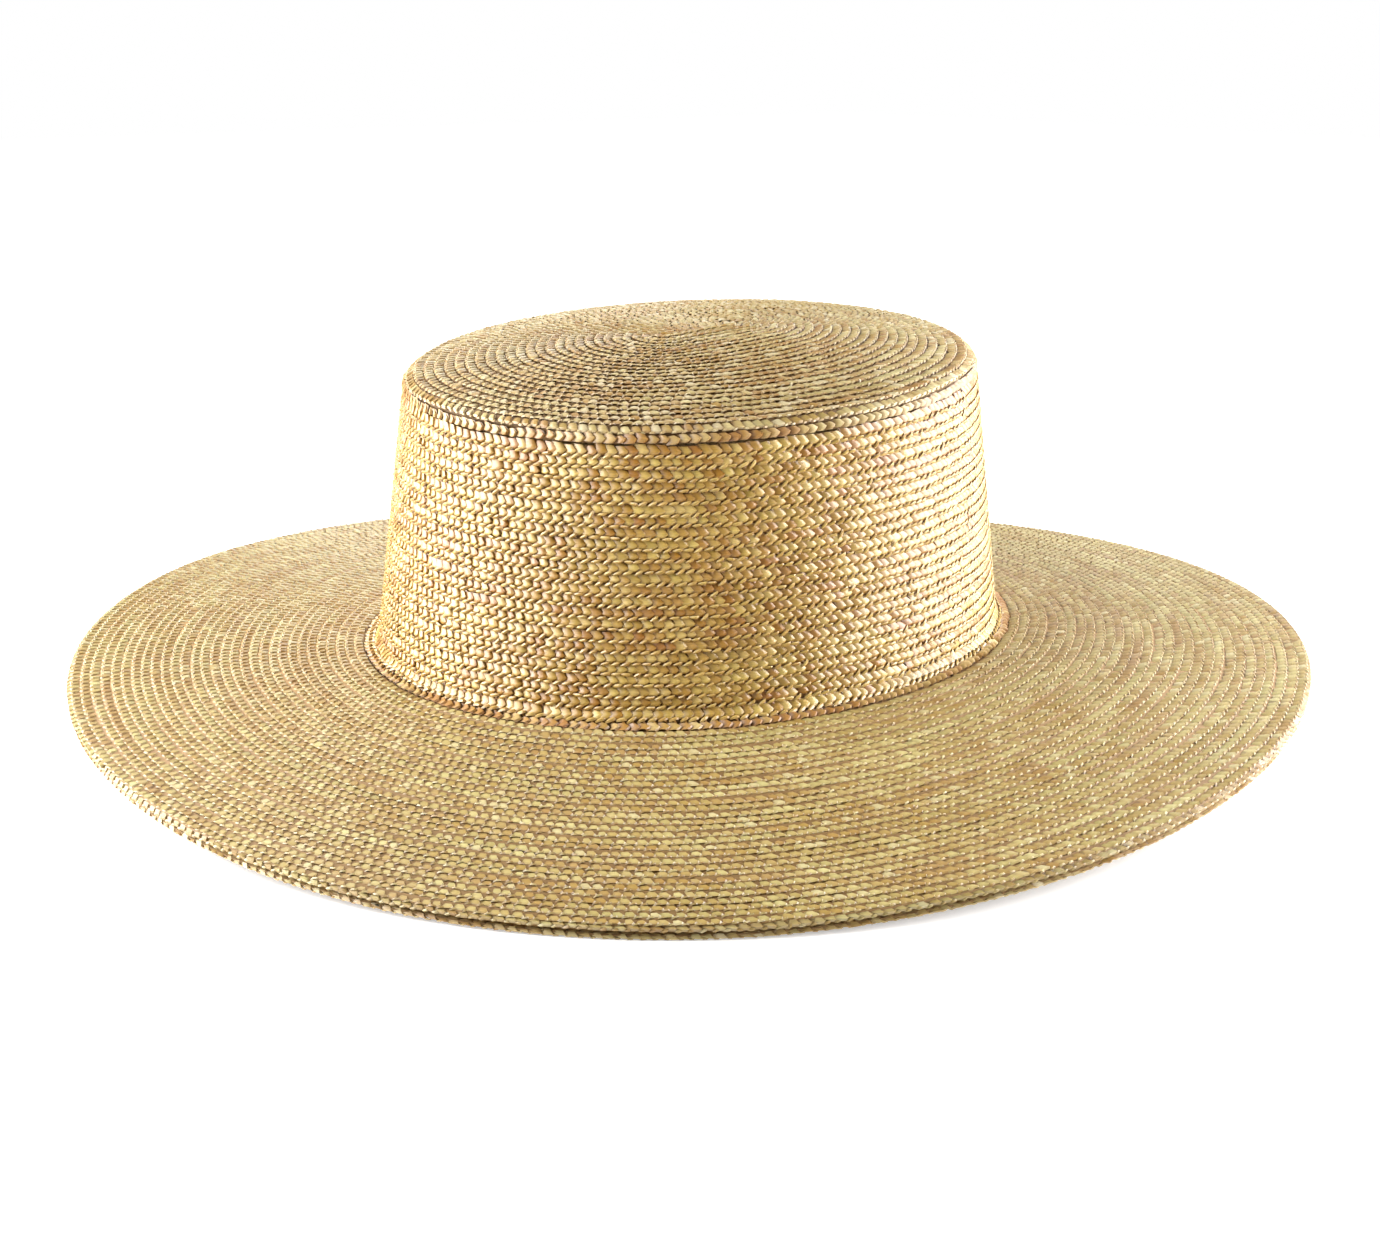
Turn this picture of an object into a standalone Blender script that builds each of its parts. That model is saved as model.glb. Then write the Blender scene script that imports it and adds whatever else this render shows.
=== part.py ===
"""A sewn straw boater, resting on its brim: crown tip, crown side, brim and doubled brim edge.

Metres, +Z up, with the floor at Z = 0. The hat's front faces -Y, and its long way runs along Y.
"""
import math

import bmesh
import bpy

MM = 0.001

# Crown, measured on its outer face. Half lengths run front to back, half widths side to side.
CROWN_HEIGHT = 76 * MM  # from the brim's level up to where the rim is widest
RIM_HALF_LENGTH = 89 * MM
RIM_HALF_WIDTH = 76.5 * MM
RIM_RADIUS = 5 * MM
TIP_RISE = 7 * MM  # how far the middle of the tip stands above its rim
BASE_HALF_LENGTH = 99 * MM
BASE_HALF_WIDTH = 85 * MM
BASE_FLARE = 4.5 * MM  # radius of the hollow curve from the crown out to the brim
LEAN_TO_SIDE = -0.042  # rise of the rim for each metre towards +X
LEAN_TO_BACK = 0.044  # rise of the rim for each metre towards +Y

# Brim, from the crown's base line to its edge. It falls, and a twist lifts two of its corners.
BRIM_FRONT = 85.5 * MM
BRIM_SIDE = 94 * MM
BRIM_FALL = 6.4 * MM
BRIM_TWIST = 6 * MM
BRIM_HOLLOW = 0.6  # 0 is a straight fall, higher falls steeply first and then levels out

# Straw: the plait's rows overlap, so a wall is about two plaits thick.
STRAW_WALL = 1.8 * MM
EDGE_WALL = 1.6 * MM
EDGE_WIDTH = 5 * MM
EDGE_PROUD = 0.8 * MM
SEAM_GAP = 0.3 * MM

# Facets round the hat, and rings across each stretch of its section.
SIDES = 80
TIP_RINGS = 7
WALL_RINGS = 5
CURVE_RINGS = 4
BRIM_RINGS = 9
TIP_BUTTON = 0.06  # the innermost ring of the tip, as a share of the tip

# A facet's middle, not its corner, lies on the lowest line of the brim, so it has a level seat.
HALF_FACET = math.pi / SIDES
LOWEST_EDGE = BRIM_FALL + BRIM_TWIST * math.cos(2 * HALF_FACET)
BRIM_LEVEL = LOWEST_EDGE + STRAW_WALL + SEAM_GAP + EDGE_WALL

# Colours of the straw, as linear red, green and blue.
TIP_STRAW = (0.55, 0.43, 0.25)
SIDE_STRAW = (0.64, 0.47, 0.23)
BRIM_STRAW = (0.56, 0.42, 0.21)
EDGE_STRAW = (0.66, 0.52, 0.30)


def clear_scene():
    for thing in list(bpy.data.objects):
        bpy.data.objects.remove(thing, do_unlink=True)


def straw_material(name, colour):
    material = bpy.data.materials.new(name)
    material.use_nodes = True
    surface = material.node_tree.nodes["Principled BSDF"]
    surface.inputs["Base Color"].default_value = (*colour, 1.0)
    surface.inputs["Roughness"].default_value = 0.45
    surface.inputs["Metallic"].default_value = 0.0
    return material


def brim_drop(angle, share):
    """How far the brim hangs below its level, share = 0 at the crown's base line and 1 at the edge."""
    fall = BRIM_FALL - BRIM_TWIST * math.sin(2 * angle)
    return fall * share * (1 + BRIM_HOLLOW * (1 - share))


def crown_lean(x, y, level):
    """The rim slopes a little, and the wall below it takes up the slope row by row."""
    height_share = min(max(level / CROWN_HEIGHT, 0.0), 1.0)
    return height_share * (LEAN_TO_SIDE * x + LEAN_TO_BACK * y)


def ring(half_length, half_width, level, share=0.0):
    """Points of one oval. Level is its height over the brim's level, share its place on the brim."""
    points = []
    for side in range(SIDES):
        angle = (2 * side + 1) * HALF_FACET
        x = half_width * math.cos(angle)
        y = half_length * math.sin(angle)
        z = BRIM_LEVEL + level + crown_lean(x, y, level) - brim_drop(angle, share)
        points.append((x, y, z))
    return points


def tip_rings(depth):
    """Rings of the domed tip and its rounded rim, from the middle out, at a depth below its face."""
    rings = []
    top = CROWN_HEIGHT + RIM_RADIUS - depth
    for step in range(TIP_RINGS):
        share = TIP_BUTTON + (1 - TIP_BUTTON) * step / TIP_RINGS
        rise = TIP_RISE * (1 - share ** 2)
        length = share * (RIM_HALF_LENGTH - RIM_RADIUS)
        width = share * (RIM_HALF_WIDTH - RIM_RADIUS)
        rings.append(ring(length, width, top + rise))
    radius = RIM_RADIUS - depth
    for step in range(CURVE_RINGS + 1):
        turn = math.pi / 2 * (1 - step / CURVE_RINGS)
        inset = RIM_RADIUS - radius * math.cos(turn)
        level = CROWN_HEIGHT + radius * math.sin(turn)
        rings.append(ring(RIM_HALF_LENGTH - inset, RIM_HALF_WIDTH - inset, level))
    return rings


def side_rings(depth):
    """Rings of the crown's side and its flare, from the top down, at a depth behind its face."""
    rings = []
    top = CROWN_HEIGHT - SEAM_GAP
    for step in range(WALL_RINGS):
        level = top + (BASE_FLARE - top) * step / WALL_RINGS
        rings.append(wall_ring(level, depth))
    radius = BASE_FLARE + depth
    for step in range(CURVE_RINGS + 1):
        turn = math.pi / 2 * step / CURVE_RINGS
        out = BASE_FLARE - radius * math.cos(turn)
        level = BASE_FLARE - radius * math.sin(turn)
        share = max(out, 0.0) / BRIM_FRONT
        rings.append(ring(BASE_HALF_LENGTH + out, BASE_HALF_WIDTH + out, level, share))
    return rings


def wall_ring(level, depth):
    """One ring of the crown's side, which narrows evenly from the top of the flare to the rim."""
    share = (level - BASE_FLARE) / (CROWN_HEIGHT - BASE_FLARE)
    length = BASE_HALF_LENGTH + (RIM_HALF_LENGTH - BASE_HALF_LENGTH) * share
    width = BASE_HALF_WIDTH + (RIM_HALF_WIDTH - BASE_HALF_WIDTH) * share
    return ring(length - depth, width - depth, level)


def brim_rings(depth):
    """Rings of the brim, from the crown's flare to its edge, at a depth below its upper face."""
    rings = []
    start = BASE_FLARE + SEAM_GAP
    for step in range(BRIM_RINGS):
        way = step / (BRIM_RINGS - 1)
        front = start + (BRIM_FRONT - start) * way
        side = start + (BRIM_SIDE - start) * way
        rings.append(ring(BASE_HALF_LENGTH + front, BASE_HALF_WIDTH + side, -depth, front / BRIM_FRONT))
    return rings


def edge_rings(depth):
    """The doubled last row: a flat band below the brim's edge, a little proud of it."""
    rings = []
    for out in (-EDGE_WIDTH, EDGE_PROUD):
        length = BASE_HALF_LENGTH + BRIM_FRONT + out
        width = BASE_HALF_WIDTH + BRIM_SIDE + out
        rings.append(ring(length, width, -STRAW_WALL - SEAM_GAP - depth, 1.0))
    return rings


def loft(name, material, rings, capped):
    """Joins rings into one closed body. A capped body ends in a face at each end, any other meets itself."""
    shape = bmesh.new()
    loops = [[shape.verts.new(point) for point in points] for points in rings]
    pairs = list(zip(loops, loops[1:]))
    if capped:
        shape.faces.new(loops[0])
        shape.faces.new(loops[-1][::-1])
    else:
        pairs.append((loops[-1], loops[0]))
    for before, after in pairs:
        for side in range(SIDES):
            shape.faces.new((before[side], before[side - 1], after[side - 1], after[side]))
    bmesh.ops.recalc_face_normals(shape, faces=shape.faces[:])
    mesh = bpy.data.meshes.new(name)
    shape.to_mesh(mesh)
    shape.free()
    mesh.shade_smooth()
    mesh.set_sharp_from_angle(angle=math.radians(40))
    mesh.materials.append(material)
    piece = bpy.data.objects.new(name, mesh)
    bpy.context.scene.collection.objects.link(piece)
    return piece


def make_crown_tip():
    rings = tip_rings(0.0) + tip_rings(STRAW_WALL)[::-1]
    return loft("crown_tip", straw_material("tip_straw", TIP_STRAW), rings, capped=True)


def make_crown_side():
    rings = side_rings(0.0) + side_rings(STRAW_WALL)[::-1]
    return loft("crown_side", straw_material("side_straw", SIDE_STRAW), rings, capped=False)


def make_brim():
    rings = brim_rings(0.0) + brim_rings(STRAW_WALL)[::-1]
    return loft("brim", straw_material("brim_straw", BRIM_STRAW), rings, capped=False)


def make_brim_edge():
    rings = edge_rings(0.0) + edge_rings(EDGE_WALL)[::-1]
    return loft("brim_edge", straw_material("edge_straw", EDGE_STRAW), rings, capped=False)


clear_scene()
hat = bpy.data.objects.new("boater", None)
bpy.context.scene.collection.objects.link(hat)
for straw_piece in (make_crown_tip(), make_crown_side(), make_brim(), make_brim_edge()):
    straw_piece.parent = hat
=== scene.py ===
"""A boater hat of sewn straw plait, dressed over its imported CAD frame.

One long wheat-straw plait is sewn round and round, each row a little over the next one out: first the
crown's tip, then its side, then the brim, which ends in a doubled row. Nothing on the hat moves.
The hat's sizes are in millimetres, from the floor under its middle and with its front towards -Y, and
they become metres in a mesh. The stage around it is in metres.
"""
import functools
import math

import bpy
import numpy as np
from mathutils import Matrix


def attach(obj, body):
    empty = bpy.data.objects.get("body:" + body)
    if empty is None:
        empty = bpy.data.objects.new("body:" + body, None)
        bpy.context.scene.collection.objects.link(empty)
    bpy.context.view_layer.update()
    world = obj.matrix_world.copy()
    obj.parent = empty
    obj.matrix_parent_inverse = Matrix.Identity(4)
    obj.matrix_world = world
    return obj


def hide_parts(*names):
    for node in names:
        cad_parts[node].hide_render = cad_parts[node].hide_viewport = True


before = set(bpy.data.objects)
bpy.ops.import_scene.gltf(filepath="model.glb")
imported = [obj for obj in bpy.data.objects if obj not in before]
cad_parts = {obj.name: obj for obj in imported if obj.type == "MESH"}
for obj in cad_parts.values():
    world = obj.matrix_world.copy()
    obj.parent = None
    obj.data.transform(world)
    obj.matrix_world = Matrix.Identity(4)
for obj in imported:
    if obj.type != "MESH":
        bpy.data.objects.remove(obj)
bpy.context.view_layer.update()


# The crown's tip: the plait starts folded on itself in the middle and is sewn into a growing oval that
# bulges a little. Its last turns bend down over the rounded rim. It is pressed, so that each stitch shows
# one broad, nearly flat straw and a loop at the row's free edge, with dark dots between the loops, where
# the sheet's painted shade shows through.
MM = 0.001
BRIM_LEVEL = 16.08  # the crown's base line over the floor
CROWN_HEIGHT = 76.0  # from there to where the rim is widest
RIM_HALF_LENGTH = 89.0
RIM_HALF_WIDTH = 76.5
RIM_RADIUS = 5.0
RIM_BEND = 2.0  # how far the tip's face goes round the rim, in radians
TIP_RISE = 7.0  # of the bulge
LEAN_TO_SIDE = -0.042  # the slopes of the rim
LEAN_TO_BACK = 0.044
FOLD_HALF_LENGTH = RIM_HALF_LENGTH - RIM_HALF_WIDTH  # of the straight fold that the oval grows round
FOLD_RADIUS = 0.3  # the least at the fold's ends
OVAL_START = 4.0  # from here out, a row changes from a folded strip to the rim's oval,
OVAL_GROWTH = 50.0  # over this distance
FLAT_REACH = RIM_HALF_WIDTH - RIM_RADIUS  # from the middle to where the rim's rounding starts
TIP_REACH = FLAT_REACH + RIM_RADIUS * math.pi / 2
TIGHT_REACH = 12.0  # out to here, rows turn so tightly that their stitches stand on the plain dome
STITCH_PITCH = 2.69  # along a row
TIP_ROWS = 26
TIP_START = 1.15  # the middle of the first row
RIM_SEAM = 76.7  # from the middle to the upper edge of the rim row
LAST_ROW = 1.75  # from the middle of the tip's last row to that seam
TIP_PITCH = (RIM_SEAM - LAST_ROW - TIP_START) / (TIP_ROWS - 1)
STEP_ROUND = 0.0005  # in turns, by which the way along a row is found
STEP_OUT = 0.05  # and in millimetres, the way across it


def eased(share):
    """A share that starts and ends softly between 0 and 1."""
    share = np.clip(share, 0, 1)
    return share * share * (3 - 2 * share)


def crown_lean(x, y, level):
    """The rim slopes a little, and the wall below takes up the slope."""
    share = np.clip(level / CROWN_HEIGHT, 0, 1)
    return share * (LEAN_TO_SIDE * x + LEAN_TO_BACK * y)


def folded_oval(turn, reach):
    """Points at a distance from the straight fold in the tip's middle, by turns round it."""
    radius = np.maximum(np.abs(reach), FOLD_RADIUS)
    quarter = FOLD_HALF_LENGTH + math.pi / 2 * radius
    place = np.mod(turn, 1.0) * 4
    part = place % 1.0
    part = np.where(place.astype(int) % 2 == 1, 1 - part, part)
    went = part * quarter
    straight = np.minimum(went, FOLD_HALF_LENGTH)
    angle = (went - straight) / radius
    x = reach * np.cos(angle)
    y = straight + reach * np.sin(angle)
    return np.where((place >= 1) & (place < 3), -x, x), np.where(place >= 2, -y, y)


def tip_place(turn, reach):
    """Points on the tip's face, from its middle out, and down over the rim."""
    angle = 2 * math.pi * turn
    bend = np.clip((reach - FLAT_REACH) / RIM_RADIUS, 0, RIM_BEND)
    flat = np.minimum(reach, FLAT_REACH)
    half_width = flat + RIM_RADIUS * np.sin(bend)
    fold_x, fold_y = folded_oval(turn, half_width)
    oval = eased((reach - OVAL_START) / OVAL_GROWTH)
    x = fold_x + (half_width * np.cos(angle) - fold_x) * oval
    y = fold_y + ((half_width + FOLD_HALF_LENGTH) * np.sin(angle) - fold_y) * oval
    share = (x / FLAT_REACH) ** 2 + (y / (FLAT_REACH + FOLD_HALF_LENGTH)) ** 2
    rise = TIP_RISE * np.where(bend > 0, 0, 1 - share)
    level = CROWN_HEIGHT + RIM_RADIUS * np.cos(bend) + rise
    return np.stack([x, y, BRIM_LEVEL + level + crown_lean(x, y, level)], -1)


def face_of(place, turn, reach):
    """Points on a face of the hat, and which way the face looks there."""
    along = place(turn + STEP_ROUND, reach) - place(turn - STEP_ROUND, reach)
    across = place(turn, reach + STEP_OUT) - place(turn, reach - STEP_OUT)
    outward = np.cross(across, along)
    outward /= np.maximum(np.linalg.norm(outward, axis=-1, keepdims=True), 1e-9)
    return place(turn, reach), outward


def tip_face(turn, reach):
    """The tip's face, which looks straight out of the dome near its middle."""
    points, outward = face_of(tip_place, turn, reach)
    slope_x = 2 * TIP_RISE * points[..., 0] / FLAT_REACH ** 2 - LEAN_TO_SIDE
    slope_y = 2 * TIP_RISE * points[..., 1] / (FLAT_REACH + FOLD_HALF_LENGTH) ** 2 - LEAN_TO_BACK
    dome = np.stack([slope_x, slope_y, np.ones_like(slope_x)], -1)
    dome /= np.linalg.norm(dome, axis=-1, keepdims=True)
    return points, np.where(reach[..., None] < TIGHT_REACH, dome, outward)


def select_corners(mesh, began, axis, *places):
    """Selects, in edit mode, the corners that began at one of some places along an axis."""
    bpy.ops.mesh.select_all(action="DESELECT")
    bpy.ops.object.mode_set(mode="OBJECT")
    for corner, start in zip(mesh.vertices, began):
        corner.select = any(math.isclose(start[axis], place, abs_tol=0.01) for place in places)
    bpy.ops.object.mode_set(mode="EDIT")


def straw_crossing(columns, lines):
    """One flattened straw where it shows on the plait's face, with X along the row and Y up it.

    A column has a place along the row, a height, and the share of the straw's width that is left there.
    A line has a place up the row, a shift along it, and how much higher than its columns it lies. One
    face closes the underside, and a straw of only two lines has a gable at each of them too.
    """
    bpy.ops.object.select_all(action="DESELECT")
    bpy.ops.mesh.primitive_grid_add(x_subdivisions=len(columns) - 1, y_subdivisions=len(lines) - 1,
                                    size=2.0)
    straw = bpy.context.object
    mesh = straw.data
    began = [tuple(corner.co) for corner in mesh.vertices]
    bpy.ops.object.mode_set(mode="EDIT")
    bpy.ops.mesh.select_mode(type="VERT")
    for index, (place, shift, higher) in enumerate(lines):
        was = -1 + 2 * index / (len(lines) - 1)
        select_corners(mesh, began, 1, was)
        bpy.ops.transform.translate(value=(shift, place - was, higher))
    for index, (place, height, width) in enumerate(columns):
        was = -1 + 2 * index / (len(columns) - 1)
        select_corners(mesh, began, 0, was)
        bpy.ops.transform.resize(value=(1, width, 1), center_override=(0, 0, 0))
        bpy.ops.transform.translate(value=(place - was, 0, height))
    if len(lines) == 2:
        for line in (-1, 1):
            select_corners(mesh, began, 1, line)
            bpy.ops.mesh.edge_face_add()
        select_corners(mesh, began, 0, -1, 1)
    else:
        bpy.ops.mesh.select_all(action="DESELECT")
        bpy.ops.mesh.select_non_manifold()
    bpy.ops.mesh.edge_face_add()
    bpy.ops.mesh.select_all(action="SELECT")
    bpy.ops.mesh.normals_make_consistent(inside=False)
    bpy.ops.object.mode_set(mode="OBJECT")
    corners = np.array([tuple(corner.co) for corner in mesh.vertices])
    faces = [tuple(face.vertices) for face in mesh.polygons]
    bpy.data.objects.remove(straw)
    bpy.data.meshes.remove(mesh)
    return corners, faces


# Colours of single straws, as linear red, green and blue.
GOLD = np.array([0.48, 0.31, 0.085])
CREAM = np.array([0.68, 0.56, 0.27])
WHITISH = np.array([0.74, 0.64, 0.42])
AMBER = np.array([0.38, 0.17, 0.035])
GREENISH = np.array([0.43, 0.37, 0.14])
PAINTED_DIVE_SHADE = np.array([0.45, 0.6, 0.72])  # painted shade: how much of each colour a straw loses where it dives under
PAINTED_SHADE_DEPTH = 0.7  # how far down that painted shade is full

# The straws that each stitch of the tip shows. A straw slants by some degrees, which swing from stitch to
# stitch. It rocks about its middle, lies aside towards the row's free edge, and is lifted. Its colour goes
# some share of the way towards another one.
TIP_PLAIT = (
    dict(slant=0, swing=3, middle=-1.1, aside=0.0, lift=0.0, towards=WHITISH, share=0.08,
         shape=straw_crossing(
             columns=((-2.9, -0.5, 1), (-2.0, -0.12, 1), (-1.1, 0.12, 1), (-0.3, 0.04, 1), (0.1, -0.55, 1)),
             lines=((-1.25, -0.5, -0.44), (-0.65, -0.2, 0.0), (1.25, -1.05, -0.25)))),
    dict(slant=-12, swing=9, middle=0.0, aside=1.12, lift=-0.06, towards=WHITISH, share=0.25,
         shape=straw_crossing(
             columns=((-0.9, -0.5, 0.5), (-0.35, 0.04, 1), (0.35, 0.06, 1), (0.85, -0.5, 0.5)),
             lines=((-0.34, 0.0, -0.2), (0.0, 0.0, 0.05), (0.34, 0.0, -0.12)))))

# How straw varies along a row. It is paler or more golden, and it is warmer or greener: how much that
# changes in runs, how well a run holds from one stitch to the next, and how much a wide patch adds.
PALE_MIDDLE = 0.33
PALE_RUNS = 0.28
PALE_HOLD = 0.86
PALE_PATCHES = 0.14
PALE_LIMITS = (-0.3, 1.4)
WARM_RUNS = 0.34
WARM_HOLD = 0.88
WARM_PATCHES = 0.16
WARM_SPECKLE = 0.9  # against how much single stitches differ in paleness
MOST_AMBER = 0.7
MOST_GREEN = 0.6
MOST_WHITE = 0.75

# Slow changes over the hat: waves in each turn, waves in each millimetre out, and a shift. Warmth takes
# the same waves crosswise.
PATCHES = ((4, 0.013, 0.4), (7, -0.024, 2.1), (11, 0.031, 4.4), (17, -0.043, 1.0))
CROSSWISE = 300  # millimetres out that then stand for one turn

# Painted shade: a straw darkens to amber along its crossing and towards the row's free edge.
AMBER_SHADE_FROM = -1.4
AMBER_SHADE_ALONG = 0.15
AMBER_SHADE_ACROSS = 0.18
AMBER_SHADE_MOST = 0.45


def wander(count, hold, chance):
    """Numbers that drift from one stitch to the next, as one straw runs through several stitches."""
    fresh = chance.normal(size=count)
    values = np.zeros(count)
    value = fresh[0]
    for index in range(count):
        value = hold * value + math.sqrt(1 - hold * hold) * fresh[index]
        values[index] = value
    return values


def patch(turn, reach):
    """How a wide patch of the hat differs from the rest, mostly from -1 to 1, across many rows."""
    waves = [np.sin(2 * math.pi * (times * turn + out * reach) + shift) for times, out, shift in PATCHES]
    return sum(waves) / 2


def mixed(colours, other, share):
    """Colours that go a share of the way towards another one."""
    return colours + (other - colours) * share


STEP_PART = 10  # a spiral's rows step out over this part of a turn, a tenth
EVEN_ROWS = 6  # but the first ones in the middle drift out evenly, each a little less


def wound(turn):
    """Rows gone out after some turns of a spiral, mostly in the last tenth of each turn."""
    whole = np.floor(turn)
    rest = turn - whole
    late = eased(rest * STEP_PART - (STEP_PART - 1))
    even = np.clip(1 - whole / EVEN_ROWS, 0, 1) * (whole > 0)
    return whole + even * rest + (1 - even) * late


MEASURES = 900  # places in each turn by which a row's length is measured,
MORE_MEASURES = 60  # and some more, as the measure goes
PAST_THE_ENDS = 0.03  # turns past both of its ends
STITCH_JITTER = 0.12  # how much stitches differ in their place along a row,
STITCH_SIZES = 0.06  # and in size
ROW_WAVES = (3, 7, 13)  # in each turn, by which a row wavers in and out
ROW_WAVER = 0.12
WAVE_SHIFT = 6.28  # the most, which is a whole wave
FIBRE_STRETCH = 5.0  # of the fibres' pattern, for one stitch,
FIBRE_STRETCHES = 400  # until it starts again
STRAW_CREASE = math.radians(38)  # from here on, an edge of a straw is sharp


class Plait:
    """Rows of plait on their way to becoming one piece. A row's free edge lies over the next row.

    The straws lie more or less uneven, and a row slopes out towards its free edge. They get painted shade
    deep down, where they dive under, as strong as deep gives. Single stitches make a speckle, and a share
    of them is whitened, partly as paler straw and partly as painted glints.
    """

    def __init__(self, seed, tint, straws, uneven, slope, deep, speckle, bleach_and_glint):
        self.chance = np.random.default_rng(seed)
        self.tint = np.array(tint)
        self.straws = straws
        self.uneven = uneven
        self.slope = slope
        self.deep = deep
        self.speckle = speckle
        self.bleach_and_glint = bleach_and_glint
        self.points = []
        self.faces = []
        self.colours = []
        self.fibres = []
        self.count = 0

    def stitch_colours(self, turn, reach):
        """A colour for each stitch of a row: runs of pale, golden, amber and greenish straw."""
        count = len(turn)
        chance = self.chance
        pale = PALE_MIDDLE + PALE_RUNS * wander(count, PALE_HOLD, chance)
        pale = pale + self.speckle * chance.normal(size=count)
        pale = np.clip(pale + PALE_PATCHES * patch(turn, reach), *PALE_LIMITS)
        warm = WARM_RUNS * wander(count, WARM_HOLD, chance)
        warm = warm + WARM_SPECKLE * self.speckle * chance.normal(size=count)
        warm = warm + WARM_PATCHES * patch(reach / CROSSWISE, CROSSWISE * turn)
        # Painted glints, partly real paler straw: a share of the stitches goes most of the way to whitish.
        bleach_and_glint = chance.random(count) < self.bleach_and_glint
        colours = mixed(GOLD, CREAM, pale[:, None])
        colours = mixed(colours, AMBER, (np.clip(warm, 0, 1) * MOST_AMBER)[:, None])
        colours = mixed(colours, GREENISH, (np.clip(-warm, 0, 1) * MOST_GREEN)[:, None])
        colours = mixed(colours, WHITISH, MOST_WHITE * bleach_and_glint[:, None])
        return colours * self.tint

    def straw_colours(self, colours, straw, lengthways, sideways):
        """One straw's colours in each stitch, at its corners, with painted shade: amber along it and
        towards the row's free edge, and dark where it dives under.
        """
        corners, _ = straw["shape"]
        colours = mixed(colours, straw["towards"] * self.tint, straw["share"])[:, None, :]
        # Painted shade: amber laid on along the crossing and towards the row's free edge.
        amber_shade = AMBER_SHADE_ALONG * (lengthways - AMBER_SHADE_FROM) - AMBER_SHADE_ACROSS * sideways
        colours = mixed(colours, AMBER * self.tint, np.clip(amber_shade, 0, AMBER_SHADE_MOST)[..., None])
        # Painted shade: a corner is darker the further it lies below the straw's face, where it dives
        # under.
        painted_shade = self.deep * np.clip(-corners[:, 2] / PAINTED_SHADE_DEPTH, 0, 1)[None, :, None]
        return colours * (1 - painted_shade * PAINTED_DIVE_SHADE)

    def lay(self, straw, count):
        """Where one straw's corners lie in each stitch: on the straw, and along, across and over a row."""
        corners, _ = straw["shape"]
        size = 1 + STITCH_SIZES * self.chance.normal(size=(count, 1))
        slant = np.radians(straw["slant"] + straw["swing"] * self.chance.normal(size=(count, 1)))
        lengthways = corners[:, 0] * size
        sideways = corners[:, 1] * size
        along = lengthways * np.cos(slant) + sideways * np.sin(slant)
        across = lengthways * np.sin(slant) - sideways * np.cos(slant) + straw["aside"]
        tilt = self.uneven * self.chance.normal(size=(2, count, 1))
        up = corners[:, 2] + straw["lift"] + self.uneven / 2 * self.chance.normal(size=(count, 1))
        up = up + tilt[0] * (lengthways - straw["middle"]) + tilt[1] * sideways + self.slope * across
        return lengthways, sideways, along, across, up

    def sew(self, face, middle, drift=0.0, start=0.0, turns=1.0, lift=0.0, waver=ROW_WAVER):
        """Sews one row, or a spiral of them, whose middle line drifts outwards with each turn."""
        measures = int(MEASURES * turns) + MORE_MEASURES
        turn = start + np.linspace(-PAST_THE_ENDS, turns + PAST_THE_ENDS, measures)
        line, _ = face(turn, middle + drift * wound(turn - start))
        way = np.concatenate([[0.0], np.cumsum(np.linalg.norm(np.diff(line, axis=0), axis=1))])
        began = np.interp(start, turn, way)
        length = np.interp(start + turns, turn, way) - began
        count = int(round(length / STITCH_PITCH))
        at = began + (np.arange(count) + 0.5) * length / count
        at = at + STITCH_JITTER * self.chance.normal(size=count)
        stitch_turn = np.interp(at, way, turn)
        stitch_reach = middle + drift * wound(stitch_turn - start)
        bends = [(2 * math.pi * times, self.chance.uniform(0, WAVE_SHIFT)) for times in ROW_WAVES]
        for straw in self.straws:
            lengthways, sideways, along, across, up = self.lay(straw, count)
            around = np.interp(at[:, None] + along, way, turn)
            bend = sum(np.sin(times * around + shift) for times, shift in bends)
            place, outward = face(around, middle + drift * wound(around - start) + across + waver * bend)
            self.points.append((place + outward * (up + lift)[..., None]).reshape(-1, 3))
            colours = self.stitch_colours(stitch_turn, stitch_reach)
            self.colours.append(self.straw_colours(colours, straw, lengthways, sideways).reshape(-1, 3))
            stretch = FIBRE_STRETCH * (np.arange(count)[:, None] % FIBRE_STRETCHES)
            self.fibres.append(np.stack([lengthways + stretch, sideways], -1).reshape(-1, 2))
            corners, faces = straw["shape"]
            for stitch in range(count):
                first = self.count + stitch * len(corners)
                self.faces.extend([tuple(first + corner for corner in each) for each in faces])
            self.count += count * len(corners)

    def finish(self, name, material, node, slot):
        """Makes the rows one mesh, which stands for a CAD node."""
        mesh = bpy.data.meshes.new(name)
        mesh.from_pydata(np.concatenate(self.points) * MM, [], self.faces)
        paint(mesh, np.concatenate(self.colours))
        corner = np.empty(len(mesh.loops), dtype=np.int32)
        mesh.loops.foreach_get("vertex_index", corner)
        fibres = mesh.uv_layers.new(name="fibre")
        fibres.uv.foreach_set("vector", np.concatenate(self.fibres)[corner].astype(np.float32).ravel())
        mesh.shade_smooth()
        mesh.set_sharp_from_angle(angle=STRAW_CREASE)
        hang(name, mesh, [material], node)


def paint(mesh, colours):
    """Gives each corner of a mesh its straw colour, with any painted shade and glints."""
    layer = mesh.color_attributes.new(name="straw_colour", type="FLOAT_COLOR", domain="POINT")
    opaque = np.column_stack([colours, np.ones(len(colours))])
    layer.data.foreach_set("color", opaque.astype(np.float32).ravel())


def hang(name, mesh, materials, node):
    """Adds a finished mesh to the hat in place of a CAD node."""
    for material in materials:
        mesh.materials.append(material)
    mesh.update()
    piece = bpy.data.objects.new(name, mesh)
    bpy.context.scene.collection.objects.link(piece)
    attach(piece, "root")
    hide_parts(node)


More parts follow.
